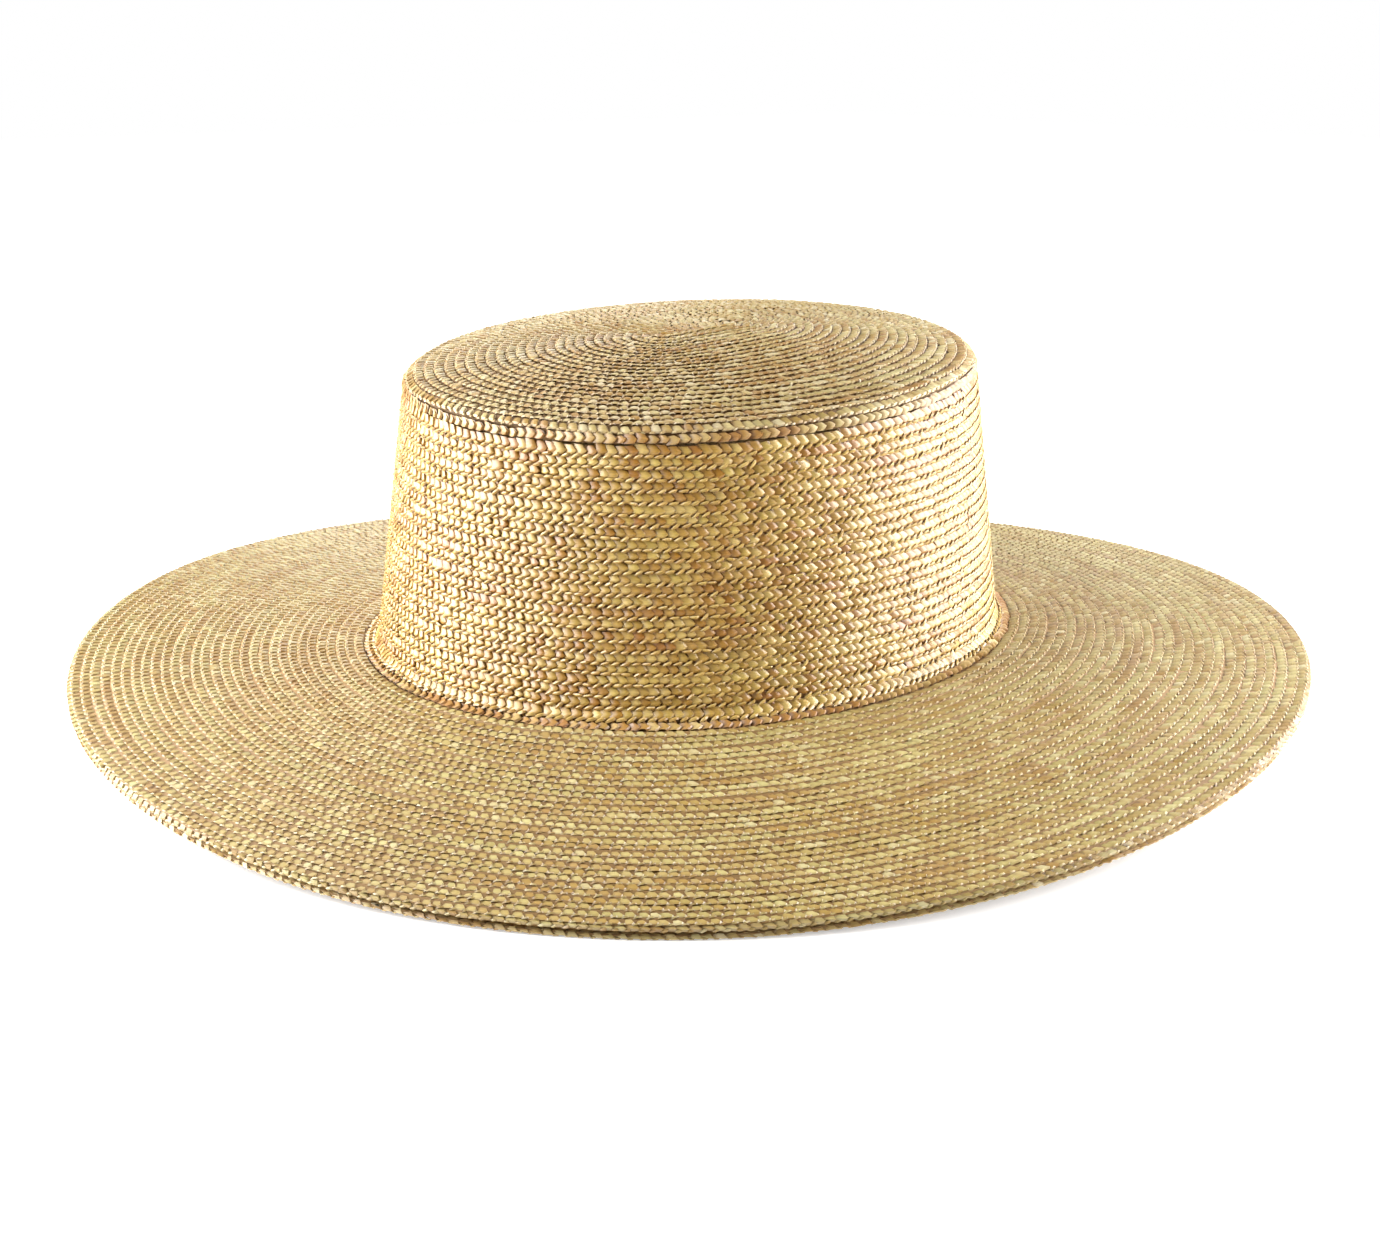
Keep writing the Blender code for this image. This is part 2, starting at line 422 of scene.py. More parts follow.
class Wire:
    """A value on its way through a material, which takes part in sums like a number."""

    def __init__(self, finish, socket):
        self.finish = finish
        self.socket = socket

    def beside(self, output):
        """Another output of the node that this value comes from."""
        return Wire(self.finish, self.socket.node.outputs[output])

    def maths(self, operation, *values):
        return self.finish.node("ShaderNodeMath", dict(enumerate(values)), operation=operation)

    def __add__(self, other):
        return self.maths("ADD", self, other)

    __radd__ = __add__

    def __sub__(self, other):
        return self.maths("SUBTRACT", self, other)

    def __rsub__(self, other):
        return self.maths("SUBTRACT", other, self)

    def __mul__(self, other):
        return self.maths("MULTIPLY", self, other)

    __rmul__ = __mul__

    def __pow__(self, other):
        return self.maths("POWER", self, other)

    def __rpow__(self, other):
        return self.maths("POWER", other, self)

    def __floor__(self):
        return self.maths("FLOOR", self)


class Finish:
    """The nodes of a material, or of the backdrop, and the shader that they feed."""

    def __init__(self, owner, shader="Principled BSDF"):
        owner.use_nodes = True
        self.owner = owner
        self.tree = owner.node_tree
        self.shader = self.tree.nodes[shader]

    def node(self, kind, sockets, out=0, **settings):
        """Adds a node: its settings first, and then the values or links of its sockets."""
        made = self.tree.nodes.new(kind)
        for setting, value in settings.items():
            setattr(made, setting, value)
        for socket, value in sockets.items():
            self.feed(made.inputs[socket], value)
        return Wire(self, made.outputs[out])

    def blend(self, share, first, second):
        """A colour between two others."""
        return self.node("ShaderNodeMix", {0: share, "A": first, "B": second}, data_type="RGBA", out=2)

    def feed(self, socket, value):
        if isinstance(value, Wire):
            self.tree.links.new(value.socket, socket)
        else:
            socket.default_value = value

    def give(self, socket, value):
        self.feed(self.shader.inputs[socket], value)


FIBRE_DRAW = (0.35, 5.0, 1.0)  # fibres are drawn out along a straw and fine across it
FIBRE_ROUGHNESS = 0.22  # how much rougher straw is on its fibres than between them


def straw_finish(name, smoothest, density):
    """Glossy straw: each stitch in its own colour, painted shade and glints included, with fine fibres
    along it.

    smoothest is its roughness between fibres, and density the index of refraction of its skin.
    """
    finish = Finish(bpy.data.materials.new(name))
    colour = finish.node("ShaderNodeAttribute", {}, attribute_name="straw_colour")
    place = finish.node("ShaderNodeUVMap", {}, uv_map="fibre")
    drawn = finish.node("ShaderNodeVectorMath", {0: place, 1: FIBRE_DRAW}, operation="MULTIPLY")
    fibre = finish.node("ShaderNodeTexNoise", {"Vector": drawn, "Scale": 1.0, "Detail": 2.0},
                        noise_dimensions="2D")
    shade = finish.node("ShaderNodeMapRange", {"Value": fibre, "From Min": 0.3, "From Max": 0.7,
                                               "To Min": 0.84, "To Max": 1.1})
    tone = finish.node("ShaderNodeCombineXYZ", {0: shade, 1: shade, 2: shade})
    shaded = finish.node("ShaderNodeVectorMath", {0: colour, 1: tone}, operation="MULTIPLY")
    relief = finish.node("ShaderNodeBump", {"Strength": 0.3, "Distance": 0.0002, "Height": fibre})
    finish.give("Base Color", shaded)
    finish.give("Roughness", smoothest + FIBRE_ROUGHNESS * fibre)
    finish.give("Specular IOR Level", 1.0)
    finish.give("IOR", density)
    finish.give("Normal", relief)
    return finish.owner


pressed_straw = straw_finish("pressed_straw", 0.38, 1.56)
# Each region's tint is partly the straw's own colour and partly painted light: the tip's is paler, for the
# sheen it shows.
TIP_TINT = (0.98, 1.0, 0.93)
SPIRAL_START = 0.44  # where each row steps out to the next, in turns from the hat's side
FOLDED_ROWS = (0.3, 2.5, 5.4)  # rows of the folded start, in the middle,
TUCKED_UNDER = -0.35  # which lie lower than the spiral
tip_plait = Plait(11, TIP_TINT, TIP_PLAIT, uneven=0.07, slope=0.12, deep=1.15, speckle=0.36, bleach_and_glint=0.1)
tip_plait.sew(tip_face, TIP_START, drift=TIP_PITCH, start=SPIRAL_START, turns=TIP_ROWS)
for reach in FOLDED_ROWS:
    tip_plait.sew(tip_face, reach, lift=TUCKED_UNDER, waver=0.0)
tip_plait.finish("tip_plait", pressed_straw, "crown_tip", "tip_straw")


# The tip's sheet is the body of its plait: the covered straws between the stitches, dark with painted
# shade there, and the inner side, where the plait shows its flatter back. Its rows step like clapboards,
# as they are sewn one over the next.
STRAW_WALL = 1.8  # two layers of plait
SEAM_DEPTH = -0.95  # down the seams beside the rim row and the base row, dark with painted shade
SHEET_SIDES = 72  # facets round the hat
ROW_STEP = 0.1  # the distance over which one row of a sheet steps to the next
INSIDE_TOP = 0.25 - STRAW_WALL  # a row of the inner side, where it starts,
INSIDE_END = -0.05 - STRAW_WALL  # and where it ends
BACK, FRONT, SEAM = range(3)  # the sheets' finishes: the back, and the front and seams, which are painted shade
BACK_SLANT = 0.6  # of the cells on the plait's back, against their width
BACK_FULLNESS = 0.6  # below 1, a cell's face is flatter and its edges are steeper


def back_finish():
    """The plait seen from inside: flatter stitches in slanting cells, drawn on the sheet's own rows, with
    painted shade where the cells meet.
    """
    finish = Finish(bpy.data.materials.new("plait_back"))
    place = finish.node("ShaderNodeUVMap", {}, uv_map="fibre")
    round_the_hat = finish.node("ShaderNodeSeparateXYZ", {0: place}, out="X")
    down = round_the_hat.beside("Y")
    row = math.floor(down)
    depth = down - row
    slanted = round_the_hat + BACK_SLANT * depth
    cell = math.floor(slanted)
    along = slanted - cell
    swell = 4 * along * (1 - along)
    crown = 4 * depth * (1 - depth)
    height = (swell * crown) ** BACK_FULLNESS
    which = finish.node("ShaderNodeCombineXYZ", {0: cell, 1: row})
    chance = finish.node("ShaderNodeTexWhiteNoise", {"Vector": which}, noise_dimensions="2D")
    straw = finish.blend(chance, (0.50, 0.33, 0.12, 1), (0.72, 0.58, 0.32, 1))
    relief = finish.node("ShaderNodeBump", {"Strength": 0.8, "Distance": 0.0006, "Height": height})
    # Painted shade: each cell darkens to brown towards its edges, where it meets the next.
    finish.give("Base Color", finish.blend(height, (0.16, 0.08, 0.02, 1), straw))
    finish.give("Roughness", 0.5)
    finish.give("Normal", relief)
    return finish.owner


def shade_finish(name, dark, light):
    """The covered parts of the plait, which show between the stitches, in dark colours that paint the shade
    there.
    """
    finish = Finish(bpy.data.materials.new(name))
    place = finish.node("ShaderNodeUVMap", {}, uv_map="fibre")
    cloud = finish.node("ShaderNodeTexNoise", {"Vector": place, "Scale": 0.8}, noise_dimensions="2D")
    finish.give("Base Color", finish.blend(cloud, dark, light))
    finish.give("Roughness", 0.7)
    return finish.owner


def sheet_rings(rows, first, pitch, deep, slope):
    """Rings of a plait's body, outer and inner, each with its reach, its height over the face and its mark.

    A mark is a row's number and a place across it, and it keeps a little inside its row.
    """
    rise = slope * pitch / 2
    outer = []
    inner = []
    for row in range(rows):
        top = first + row * pitch
        outer.append((top + 2 * ROW_STEP, deep - rise, row + 0.05))
        outer.append((top + pitch + ROW_STEP, deep + rise, row + 0.98))
        inner.append((top + ROW_STEP, INSIDE_TOP, row + 0.02))
        inner.append((top + pitch, INSIDE_END, row + 0.98))
    return outer, inner


def sheet(name, face, outer, inner, shade, stitches, node, closed_middle=False):
    """A closed wall through rings, with as many cells round its inner side as a row has stitches."""
    nearest = 0.2
    turn = np.arange(SHEET_SIDES) / SHEET_SIDES
    rings = outer + inner[::-1]
    points = []
    for reach, lift, _ in rings:
        place, outward = face(turn, np.full(SHEET_SIDES, max(reach, nearest)))
        points.append(place + outward * lift)
    faces = []
    marks = []
    kinds = []
    pairs = [(ring, ring + 1) for ring in range(len(rings) - 1)]
    if not closed_middle:
        pairs.append((len(rings) - 1, 0))
    for here, there in pairs:
        _, here_lift, here_mark = rings[here]
        _, there_lift, there_mark = rings[there]
        kind = SEAM if max(here_lift, there_lift) <= SEAM_DEPTH else FRONT
        if here >= len(outer):
            kind = BACK
        for side in range(SHEET_SIDES):
            after = (side + 1) % SHEET_SIDES
            faces.append((here * SHEET_SIDES + side, there * SHEET_SIDES + side,
                          there * SHEET_SIDES + after, here * SHEET_SIDES + after))
            left = side / SHEET_SIDES * stitches
            right = (side + 1) / SHEET_SIDES * stitches
            marks += [(left, here_mark), (left, there_mark), (right, there_mark), (right, here_mark)]
            kinds.append(kind)
    if closed_middle:
        for ring, kind in ((0, FRONT), (len(rings) - 1, BACK)):
            loop = [ring * SHEET_SIDES + side for side in range(SHEET_SIDES)]
            faces.append(tuple(loop if kind == FRONT else loop[::-1]))
            marks += [(0.0, 0.5)] * SHEET_SIDES
            kinds.append(kind)
    mesh = bpy.data.meshes.new(name)
    mesh.from_pydata(np.concatenate(points) * MM, [], faces)
    mesh.uv_layers.new(name="fibre").uv.foreach_set("vector", np.array(marks, dtype=np.float32).ravel())
    mesh.polygons.foreach_set("material_index", np.array(kinds, dtype=np.int32))
    mesh.shade_smooth()
    hang(name, mesh, [plait_back, shade, deep_shade], node)


plait_back = back_finish()
# The darkest painted shade, for the gaps and seams of the tip and the side.
deep_shade = shade_finish("deep_shade", (0.1, 0.05, 0.015, 1), (0.2, 0.11, 0.035, 1))
tip_outer, tip_inner = sheet_rings(TIP_ROWS, TIP_START - TIP_PITCH / 2, TIP_PITCH, deep=-0.62, slope=0.05)
tip_outer += [(RIM_SEAM - 0.3, SEAM_DEPTH, TIP_ROWS + 0.1), (TIP_REACH, SEAM_DEPTH, TIP_ROWS + 0.9)]
tip_inner += [(TIP_REACH, -STRAW_WALL, TIP_ROWS + 0.9)]
sheet("tip_sheet", tip_face, tip_outer, tip_inner, deep_shade, stitches=96, node="crown_tip",
      closed_middle=True)


# The rim row: one row of the same plait, bound round the rim as a flat band. Its straws lie a little
# aslant, and it stands proud between two deep seams, dark with painted shade, where it is sewn to the
# tip and to the side.
BOUND_ROW = (
    dict(slant=0, swing=4, middle=-1.1, aside=0.0, lift=0.0, towards=AMBER, share=0.1,
         shape=straw_crossing(
             columns=((-2.95, -0.95, 1), (-2.2, -0.4, 1), (-1.2, 0.06, 1), (-0.3, 0.06, 1),
                      (0.15, -0.45, 1)),
             lines=((-1.15, -0.95, -0.3), (-0.5, -0.35, 0.0), (0.1, 0.0, 0.1), (1.15, -1.2, -0.25)))),)
BOUND = dict(uneven=0.08, slope=0.0, deep=1.0, speckle=0.4, bleach_and_glint=0.02)
BOUND_WAVER = 0.04
RIM_TINT = (0.92, 0.84, 0.64)
RIM_ROW_UP = 1.4  # from the foot of the rim's rounding to the row's middle
rim_row = Plait(12, RIM_TINT, BOUND_ROW, **BOUND)
rim_row.sew(tip_face, TIP_REACH - RIM_ROW_UP, lift=0.2, waver=BOUND_WAVER)
rim_row.finish("rim_row", pressed_straw, "crown_tip", "tip_straw")


# The crown's side: the plait goes on from the rim down the wall, and its last rows turn outwards in a
# small hollow curve towards the brim. It is sewn loosely and shines more. Rows lie flat on the wall and
# overlap like clapboards, and the last one is bound like the rim's.
BASE_HALF_LENGTH = 99.0
BASE_HALF_WIDTH = 85.0
BASE_FLARE = 4.5  # radius of the hollow curve
BRIM_FRONT = 85.5  # the brim's width at the front and back,
BRIM_SIDE = 94.0  # and at the sides
BRIM_FALL = 6.4  # down to its edge, on average,
BRIM_TWIST = 6.0  # and how much less or more at its four corners
BRIM_HOLLOW = 0.6  # how much steeper than that the brim starts, and flatter it ends
WALL_REACH = CROWN_HEIGHT - BASE_FLARE
SIDE_REACH = WALL_REACH + BASE_FLARE * math.pi / 2
BASE_SEAM = 76.0  # from the rim down to the dark seam above the base row
BASE_ROW_DOWN = 1.7  # from there to the base row's middle
SIDE_START = 0.25  # from the rim to the first row's upper edge
SIDE_ROWS = 24
SIDE_PITCH = (BASE_SEAM - SIDE_START) / SIDE_ROWS


def brim_drop(angle, share):
    """How far the brim hangs below its level, share = 0 at the crown and 1 at the edge."""
    fall = BRIM_FALL - BRIM_TWIST * np.sin(2 * angle)
    return fall * share * (1 + BRIM_HOLLOW * (1 - share))


def side_place(turn, reach):
    """Points on the crown's side, from the rim down, and out round the flare."""
    angle = 2 * math.pi * turn
    bend = np.clip((reach - WALL_REACH) / BASE_FLARE, 0, math.pi / 2)
    down = np.minimum(reach, WALL_REACH) / WALL_REACH
    out = BASE_FLARE * (1 - np.cos(bend)) + np.maximum(reach - SIDE_REACH, 0)
    level = CROWN_HEIGHT + (BASE_FLARE - CROWN_HEIGHT) * down - BASE_FLARE * np.sin(bend)
    x = (RIM_HALF_WIDTH + (BASE_HALF_WIDTH - RIM_HALF_WIDTH) * down + out) * np.cos(angle)
    y = (RIM_HALF_LENGTH + (BASE_HALF_LENGTH - RIM_HALF_LENGTH) * down + out) * np.sin(angle)
    level = level + crown_lean(x, y, level) - brim_drop(angle, out / BRIM_FRONT)
    return np.stack([x, y, BRIM_LEVEL + level], -1)


side_face = functools.partial(face_of, side_place)

# On loose plait the broad straw swells up from under its left neighbour to a pointed ridge, a slim loop
# runs up to the right along the row's free edge, and a darker straw is tucked in behind. The loop goes
# half way to whitish, partly paler straw and partly painted highlight, and the tucked straw's amber is
# painted shade.
LOOSE_PLAIT = (
    dict(slant=0, swing=4, middle=-1.1, aside=0.0, lift=-0.1, towards=CREAM, share=0.0,
         shape=straw_crossing(
             columns=((-2.9, -0.5, 1), (-2.2, -0.2, 1), (-1.4, 0, 1), (-0.7, 0.1, 1), (0, -0.08, 1),
                      (0.24, -0.56, 1)),
             lines=((-1.2, -0.75, -0.55), (-0.7, -0.38, -0.1), (-0.1, 0.0, 0.0), (1.55, -1.35, -0.4)))),
    dict(slant=-20, swing=10, middle=0.0, aside=1.38, lift=0.0, towards=WHITISH, share=0.5,
         shape=straw_crossing(
             columns=((-1.5, -0.45, 0.5), (-0.65, 0.0, 0.95), (0.55, 0.14, 1), (1.25, -0.32, 0.6)),
             lines=((-0.5, 0.0, -0.3), (0.0, 0.0, 0.05), (0.42, 0.0, -0.12)))),
    dict(slant=38, swing=12, middle=0.0, aside=1.5, lift=-0.5, towards=AMBER, share=0.6,
         shape=straw_crossing(
             columns=((-1.0, -0.3, 0.8), (0.0, 0.0, 1), (1.0, -0.35, 0.7)),
             lines=((-0.3, 0.0, 0.0), (0.3, 0.0, 0.0)))))
LOOSE = dict(uneven=0.08, slope=0.13, deep=0.85, speckle=0.4, bleach_and_glint=0.15)
# Partly painted light: the side's deep gold tint also paints the light bounced inside the crown.
SIDE_TINT = (0.9, 0.77, 0.37)
SIDE_PARTS = (  # its pieces, each with its first row and the next piece's
    ("side_plait_upper", 0, 8), ("side_plait_middle", 8, 16), ("side_plait_lower", 16, SIDE_ROWS))
loose_straw = straw_finish("loose_straw", 0.28, 1.54)
for part, (name, first, last) in enumerate(SIDE_PARTS):
    side_plait = Plait(21 + part, SIDE_TINT, LOOSE_PLAIT, **LOOSE)
    for row in range(first, last):
        side_plait.sew(side_face, SIDE_START + (row + 0.5) * SIDE_PITCH)
    side_plait.finish(name, loose_straw, "crown_side", "side_straw")
side_outer, side_inner = sheet_rings(SIDE_ROWS, SIDE_START, SIDE_PITCH, deep=-0.85, slope=0.13)
side_outer += [(BASE_SEAM, SEAM_DEPTH, SIDE_ROWS + 0.1), (SIDE_REACH + 0.6, SEAM_DEPTH, SIDE_ROWS + 0.9)]
side_inner += [(SIDE_REACH, -STRAW_WALL, SIDE_ROWS + 0.9)]
sheet("side_sheet", side_face, side_outer, side_inner, deep_shade, stitches=205, node="crown_side")
base_row = Plait(25, RIM_TINT, BOUND_ROW, **BOUND)
base_row.sew(side_face, BASE_SEAM + BASE_ROW_DOWN, lift=0.12, waver=BOUND_WAVER)
base_row.finish("base_row", pressed_straw, "crown_side", "side_straw")


# The brim: the plait goes on outwards, thirty rows of it, steeply at first and then nearly level, and one
# more turns down over its outer side. It is pressed flat. The brim is a little twisted, so that the hat
# rests on two opposite stretches of its edge.
SEAM_GAP = 0.3  # between the side's solid and the brim's, as between the brim's and its edge's
BRIM_START = BASE_FLARE + SEAM_GAP
FIRST_ROW = BRIM_START + 0.1
BRIM_TURN = 0.8  # radius of the last row's turn
TURNED_ROW = 0.7  # from where that turn starts to the last row's middle
BRIM_ROWS = 30
BRIM_PITCH = (BRIM_FRONT - FIRST_ROW) / BRIM_ROWS


def brim_place(turn, reach):
    """Points on the brim's upper face, by the distance out from the crown's base line at the front."""
    angle = 2 * math.pi * turn
    flat = np.minimum(reach, BRIM_FRONT)
    past = reach - flat
    bend = np.minimum(past / BRIM_TURN, math.pi / 2)
    out = BRIM_TURN * np.sin(bend)
    down = BRIM_TURN * (1 - np.cos(bend)) + np.maximum(past - BRIM_TURN * math.pi / 2, 0)
    side = BRIM_START + (BRIM_SIDE - BRIM_START) * (flat - BRIM_START) / (BRIM_FRONT - BRIM_START)
    x = (BASE_HALF_WIDTH + side + out) * np.cos(angle)
    y = (BASE_HALF_LENGTH + flat + out) * np.sin(angle)
    return np.stack([x, y, BRIM_LEVEL - brim_drop(angle, flat / BRIM_FRONT) - down], -1)


brim_face = functools.partial(face_of, brim_place)

# On the brim the broad straw is nearly flat, and the loops at the row's free edge make a broken lip.
PRESSED_PLAIT = (
    dict(slant=0, swing=3, middle=-1.1, aside=0.0, lift=0.0, towards=WHITISH, share=0.1,
         shape=straw_crossing(
             columns=((-2.95, -0.42, 1), (-1.6, 0.0, 1), (-0.3, 0.06, 1), (0.1, -0.4, 1)),
             lines=((-1.25, -0.6, -0.3), (-0.55, -0.25, 0.0), (1.13, -1.08, -0.2)))),
    dict(slant=-16, swing=7, middle=0.0, aside=1.08, lift=-0.12, towards=WHITISH, share=0.1,
         shape=straw_crossing(
             columns=((-1.15, -0.42, 0.35), (-0.45, 0.02, 1), (0.5, 0.06, 1), (1.1, -0.34, 0.4)),
             lines=((-0.38, 0.0, -0.2), (0.0, 0.0, 0.05), (0.38, 0.0, -0.12)))))
PRESSED = dict(uneven=0.05, slope=0.14, deep=1.0, speckle=0.26, bleach_and_glint=0.04)
# Partly painted light: the brim's paler, bluer tint also paints its whitish sheen.
BRIM_TINT = (0.81, 0.84, 0.67)
BRIM_PARTS = (  # its pieces, each with its first row and the next piece's
    ("brim_plait_inner", 0, 11), ("brim_plait_middle", 11, 21), ("brim_plait_outer", 21, BRIM_ROWS))
for part, (name, first, last) in enumerate(BRIM_PARTS):
    brim_plait = Plait(31 + part, BRIM_TINT, PRESSED_PLAIT, **PRESSED)
    for row in range(first, last):
        brim_plait.sew(brim_face, FIRST_ROW + (row + 0.5) * BRIM_PITCH)
    if last == BRIM_ROWS:
        brim_plait.sew(brim_face, BRIM_FRONT + TURNED_ROW)
    brim_plait.finish(name, pressed_straw, "brim", "brim_straw")
# Painted shade, dark brown, for the gaps of the brim and its edge.
plait_shade = shade_finish("plait_shade", (0.19, 0.1, 0.03, 1), (0.32, 0.19, 0.065, 1))
brim_outer, brim_inner = sheet_rings(BRIM_ROWS, FIRST_ROW, BRIM_PITCH, deep=-0.34, slope=0.12)
brim_outer.insert(0, (BRIM_START, -0.6, 0.0))
brim_inner.insert(0, (BRIM_START, -STRAW_WALL, 0.0))
sheet("brim_sheet", brim_face, brim_outer, brim_inner, plait_shade, stitches=330, node="brim")


# The brim's edge: the last row is doubled by one more, sewn under it. The doubled row stands out a little
# further and is rounded over its outer side, and its band below it lies flat against the brim.
EDGE_PROUD = 0.8  # past the end of the brim's flat face
EDGE_WIDTH = 5.0  # of the doubled row, from its outer side to where it ends under the brim
EDGE_TOP = -(STRAW_WALL + SEAM_GAP)  # below the brim's face
EDGE_THICK = 1.6
EDGE_TURN = 0.9  # radius of its outer side
EDGE_UNDER = EDGE_TURN * math.pi  # where the doubled row turns in under the brim
EDGE_END = EDGE_UNDER + EDGE_WIDTH - 1.0
EDGE_BODY = -0.45  # the outer and inner depth of its band, under its stitches
EDGE_BACK = -1.3


def edge_place(turn, reach):
    """Points on the doubled row: round its outer side from above, and then inwards below it."""
    angle = 2 * math.pi * turn
    bend = np.clip(reach / EDGE_TURN, -1.0, math.pi)
    inward = np.maximum(reach - EDGE_TURN * math.pi, 0)
    out = EDGE_PROUD - EDGE_TURN + EDGE_TURN * np.sin(bend) - inward
    level = EDGE_TOP - EDGE_THICK / 2 + EDGE_THICK / 2 * np.cos(bend)
    x = (BASE_HALF_WIDTH + BRIM_SIDE + out) * np.cos(angle)
    y = (BASE_HALF_LENGTH + BRIM_FRONT + out) * np.sin(angle)
    return np.stack([x, y, BRIM_LEVEL + level - brim_drop(angle, 1.0)], -1)


edge_face = functools.partial(face_of, edge_place)
EDGE_TINT = (1.0, 0.98, 0.84)
EDGE_ROWS = ((1.0, -0.05), (EDGE_UNDER + 1.8, -0.62))  # each row's middle, and its lift
edge_plait = Plait(41, EDGE_TINT, PRESSED_PLAIT, **PRESSED)
for middle, lift in EDGE_ROWS:
    edge_plait.sew(edge_face, middle, lift=lift)
edge_plait.finish("edge_plait", pressed_straw, "brim_edge", "edge_straw")
edge_outer = [(reach, EDGE_BODY, 0.1 + reach / 3) for reach in (0.1, 0.7, 1.4, 2.1, EDGE_UNDER, EDGE_END)]
edge_inner = [(EDGE_UNDER + 1.6, EDGE_BACK, 0.1), (EDGE_END, EDGE_BACK, 0.9)]
sheet("edge_band", edge_face, edge_outer, edge_inner, plait_shade, stitches=380, node="brim_edge")


# A few cut ends of straw stand out from the doubled row, where a new straw was worked into the plait and
# the old one was trimmed. They are single pale straws that taper a little.
CUT_ENDS = (  # turns round the hat, place across the row, degrees out from it, length against the longest
    (0.038, 0.5, 35, 0.8), (0.045, 0.2, 150, 1.0), (0.058, 0.9, 20, 0.7), (0.083, 0.4, 160, 0.6),
    (0.104, 0.8, 30, 0.8), (0.131, 0.3, 25, 1.0), (0.137, 0.9, 145, 0.8), (0.15, 0.6, 165, 0.6),
    (0.29, 0.5, 25, 0.8), (0.46, 0.7, 150, 0.8), (0.61, 0.4, 30, 0.7), (0.83, 0.8, 155, 0.7))
CUT_END_COLOUR = WHITISH * 0.95
end_corners, end_faces = straw_crossing(
    columns=((-0.4, -0.1, 1), (0.5, 0.0, 1), (1.3, 0.0, 0.9), (2.2, 0.1, 0.5)),
    lines=((-0.28, 0.0, -0.06), (0.0, 0.0, 0.06), (0.28, 0.0, -0.06)))
end_points = []
end_shapes = []
for turn, reach, degrees, length in CUT_ENDS:
    place, outward = edge_face(np.array([turn]), np.array([reach]))
    ahead, _ = edge_face(np.array([turn + STEP_ROUND]), np.array([reach]))
    along = (ahead - place)[0] / np.linalg.norm(ahead - place)
    leaning = along * math.cos(math.radians(degrees)) + outward[0] * math.sin(math.radians(degrees))
    beside = np.cross(outward[0], along)
    ways = np.stack([leaning, beside, np.cross(leaning, beside)])
    first = len(end_points) * len(end_corners)
    end_points.append(place[0] + end_corners * (length, 1, 1) @ ways)
    end_shapes += [tuple(first + corner for corner in face) for face in end_faces]
cut_ends = bpy.data.meshes.new("cut_ends")
cut_ends.from_pydata(np.concatenate(end_points) * MM, [], end_shapes)
paint(cut_ends, np.tile(CUT_END_COLOUR, (len(cut_ends.vertices), 1)))
cut_ends.uv_layers.new(name="fibre")
cut_ends.shade_smooth()
hang("cut_ends", cut_ends, [pressed_straw], "brim_edge")


# The stage is a pale floor and a white backdrop. Both are bright where the camera sees them, and give the
# hat much less light than that, so that the soft boxes shape it. The floor glows less close to the hat,
# which paints a shade round it, so that its shadow shows.
FLOOR_SIZE = 6.0
FLOOR_UNSEEN = 0.2  # the share of its glow that the floor gives where the camera doesn't see it
BACKDROP_UNSEEN = 0.04
bpy.ops.object.select_all(action="DESELECT")
bpy.ops.mesh.primitive_plane_add(size=FLOOR_SIZE, location=(0, 0, 0))
floor = bpy.context.object
floor.name = "floor"
pale_floor = Finish(bpy.data.materials.new("pale_floor"))
pale_floor.give("Base Color", (0.86, 0.86, 0.86, 1))
pale_floor.give("Roughness", 0.9)
spot = pale_floor.node("ShaderNodeTexCoord", {}, out="Object")
away = pale_floor.node("ShaderNodeVectorMath", {0: spot}, operation="LENGTH", out="Value")
# Painted shade: the glow falls off towards the hat.
glow = pale_floor.node("ShaderNodeMapRange", {"Value": away, "From Min": 0.25, "From Max": 0.8,
                                              "To Min": 0.45, "To Max": 1.0},
                       interpolation_type="SMOOTHSTEP")
seen = pale_floor.node("ShaderNodeLightPath", {}, out="Is Camera Ray")
lit = glow * (FLOOR_UNSEEN + (1 - FLOOR_UNSEEN) * seen)
pale_floor.give("Emission Color", pale_floor.node("ShaderNodeCombineXYZ", {0: lit, 1: lit, 2: lit}))
pale_floor.give("Emission Strength", 1.0)
floor.data.materials.append(pale_floor.owner)

backdrop = Finish(bpy.data.worlds.new("studio"), shader="Background")
seen = backdrop.node("ShaderNodeLightPath", {}, out="Is Camera Ray")
backdrop.give("Color", (1, 1, 1, 1))
backdrop.give("Strength", BACKDROP_UNSEEN + (1 - BACKDROP_UNSEEN) * seen)
bpy.context.scene.world = backdrop.owner
bpy.context.scene.view_settings.view_transform = "Standard"

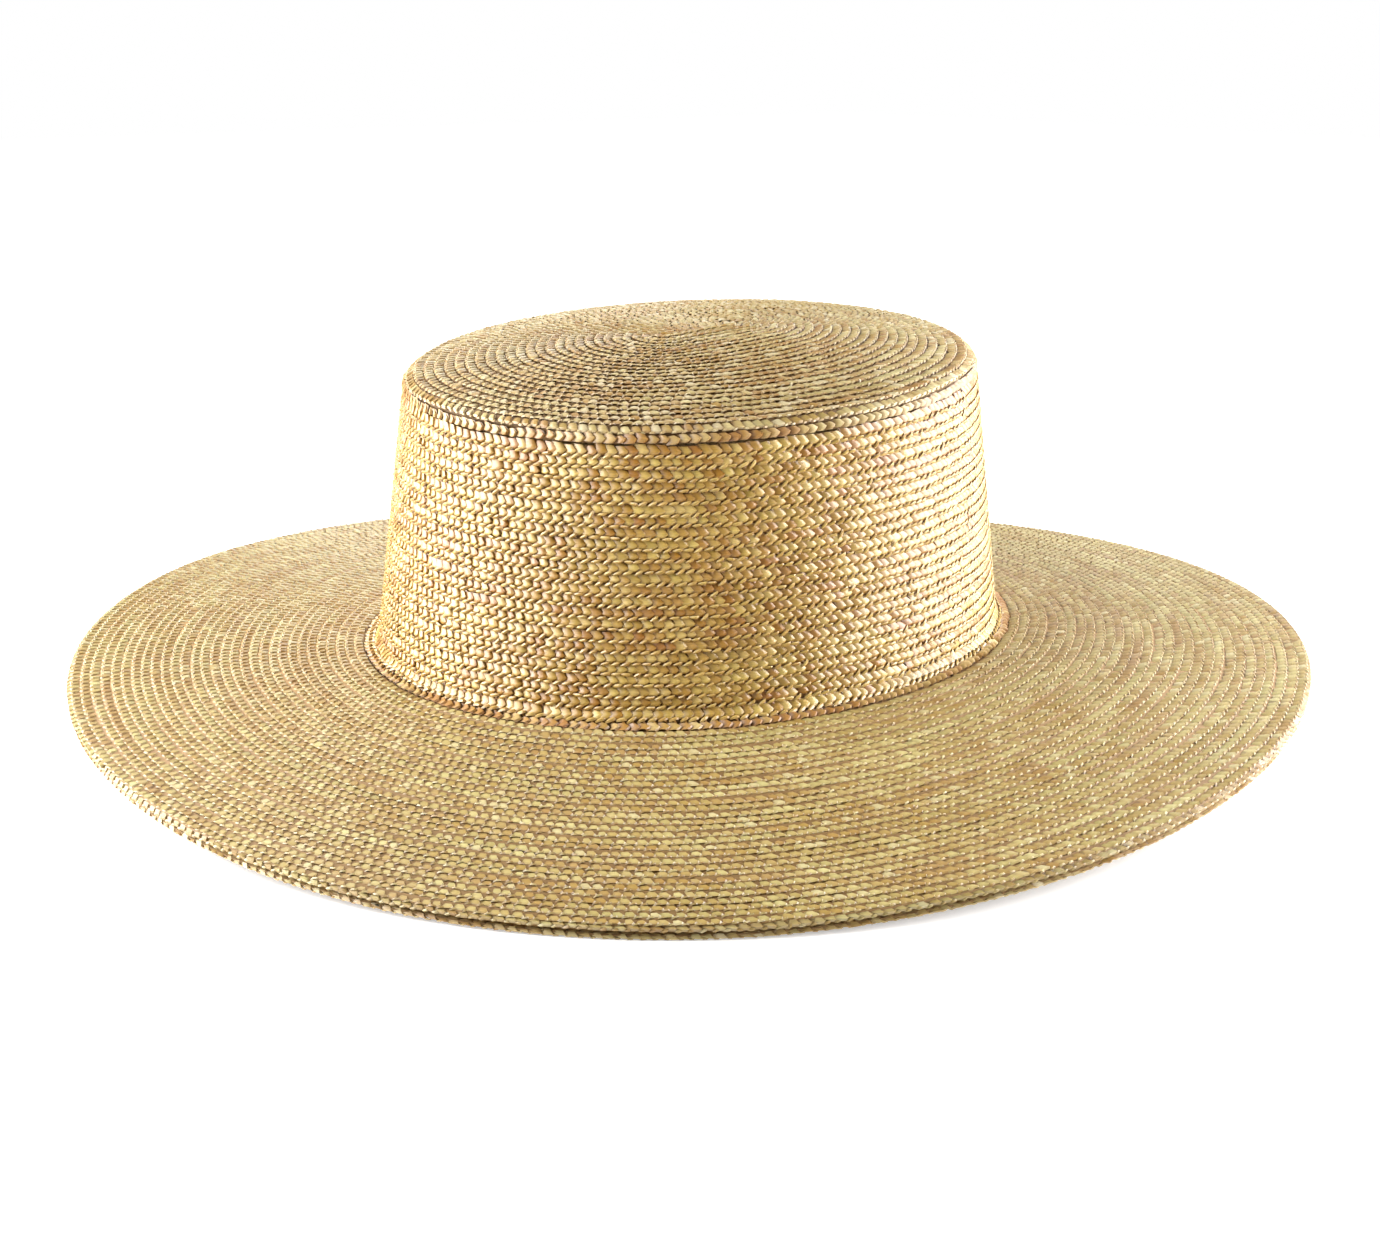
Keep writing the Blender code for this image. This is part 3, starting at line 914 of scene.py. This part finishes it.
# The camera stands before the hat's front and +X side, a little above it, and looks down on it.
PHOTO_WIDTH = 1380  # in pixels,
PHOTO_FOCUS = 1796.42  # as is the distance from the lens to the picture
SENSOR_WIDTH = 36.0
VIEW_TURN = math.radians(50.4165)
VIEW_RISE = math.radians(13.7779)
VIEW_DISTANCE = 0.54465
VIEW_HEIGHT = 40  # millimetres over the crown's base line, to the place that the camera turns round
VIEW_CENTRE = np.array([0, 0, (VIEW_HEIGHT + BRIM_LEVEL) * MM])
VIEW_PITCH = math.radians(18.3244)
VIEW_YAW = math.radians(0.2149)
VIEW_ROLL = math.radians(0.2154)
way_to_eye = np.array([math.sin(VIEW_TURN) * math.cos(VIEW_RISE),
                       -math.cos(VIEW_TURN) * math.cos(VIEW_RISE), math.sin(VIEW_RISE)])
eye = VIEW_CENTRE + VIEW_DISTANCE * way_to_eye
heading = VIEW_TURN + VIEW_YAW
camera_data = bpy.data.cameras.new("camera")
camera = bpy.data.objects.new("camera", camera_data)
bpy.context.scene.collection.objects.link(camera)
camera_data.sensor_fit = "HORIZONTAL"
camera_data.sensor_width = SENSOR_WIDTH
camera_data.lens = SENSOR_WIDTH * PHOTO_FOCUS / PHOTO_WIDTH
camera_data.clip_start = 0.01
camera.location = eye
camera.rotation_mode = "XYZ"
camera.rotation_euler = (math.pi / 2 - VIEW_PITCH, -VIEW_ROLL, heading)
bpy.context.scene.camera = camera

# Soft boxes that face the hat: one wide one at each side, and smaller ones above it on the left and behind
# it. Their places are given from the hat, as the camera sees it, and their power is in watts.
SOFT_BOXES = (
    dict(name="box_left", aside=-0.5, nearer=0.05, height=0.19, width=0.6, tall=0.4, power=8.3),
    dict(name="box_right", aside=0.51, nearer=0.04, height=0.19, width=0.6, tall=0.4, power=7.9),
    dict(name="box_above_left", aside=-0.36, nearer=0.2, height=0.52, width=0.34, tall=0.34, power=1.9),
    dict(name="box_behind_left", aside=-0.14, nearer=-0.75, height=0.32, width=0.3, tall=0.5, power=2.0),
    dict(name="box_behind_right", aside=0.42, nearer=-0.7, height=0.3, width=0.5, tall=0.5, power=1.9))
way_right = np.array([math.cos(heading), math.sin(heading), 0])
way_nearer = np.array([math.sin(heading), -math.cos(heading), 0])
for box in SOFT_BOXES:
    light = bpy.data.lights.new(box["name"], "AREA")
    light.shape = "RECTANGLE"
    light.size = box["width"]
    light.size_y = box["tall"]
    light.energy = box["power"]
    lamp = bpy.data.objects.new(box["name"], light)
    bpy.context.scene.collection.objects.link(lamp)
    place = box["aside"] * way_right + box["nearer"] * way_nearer + np.array([0, 0, box["height"]])
    away = place - VIEW_CENTRE
    tilt = math.atan2(math.hypot(away[0], away[1]), away[2])
    lamp.location = place
    lamp.rotation_euler = (tilt, 0, math.atan2(away[1], away[0]) + math.pi / 2)
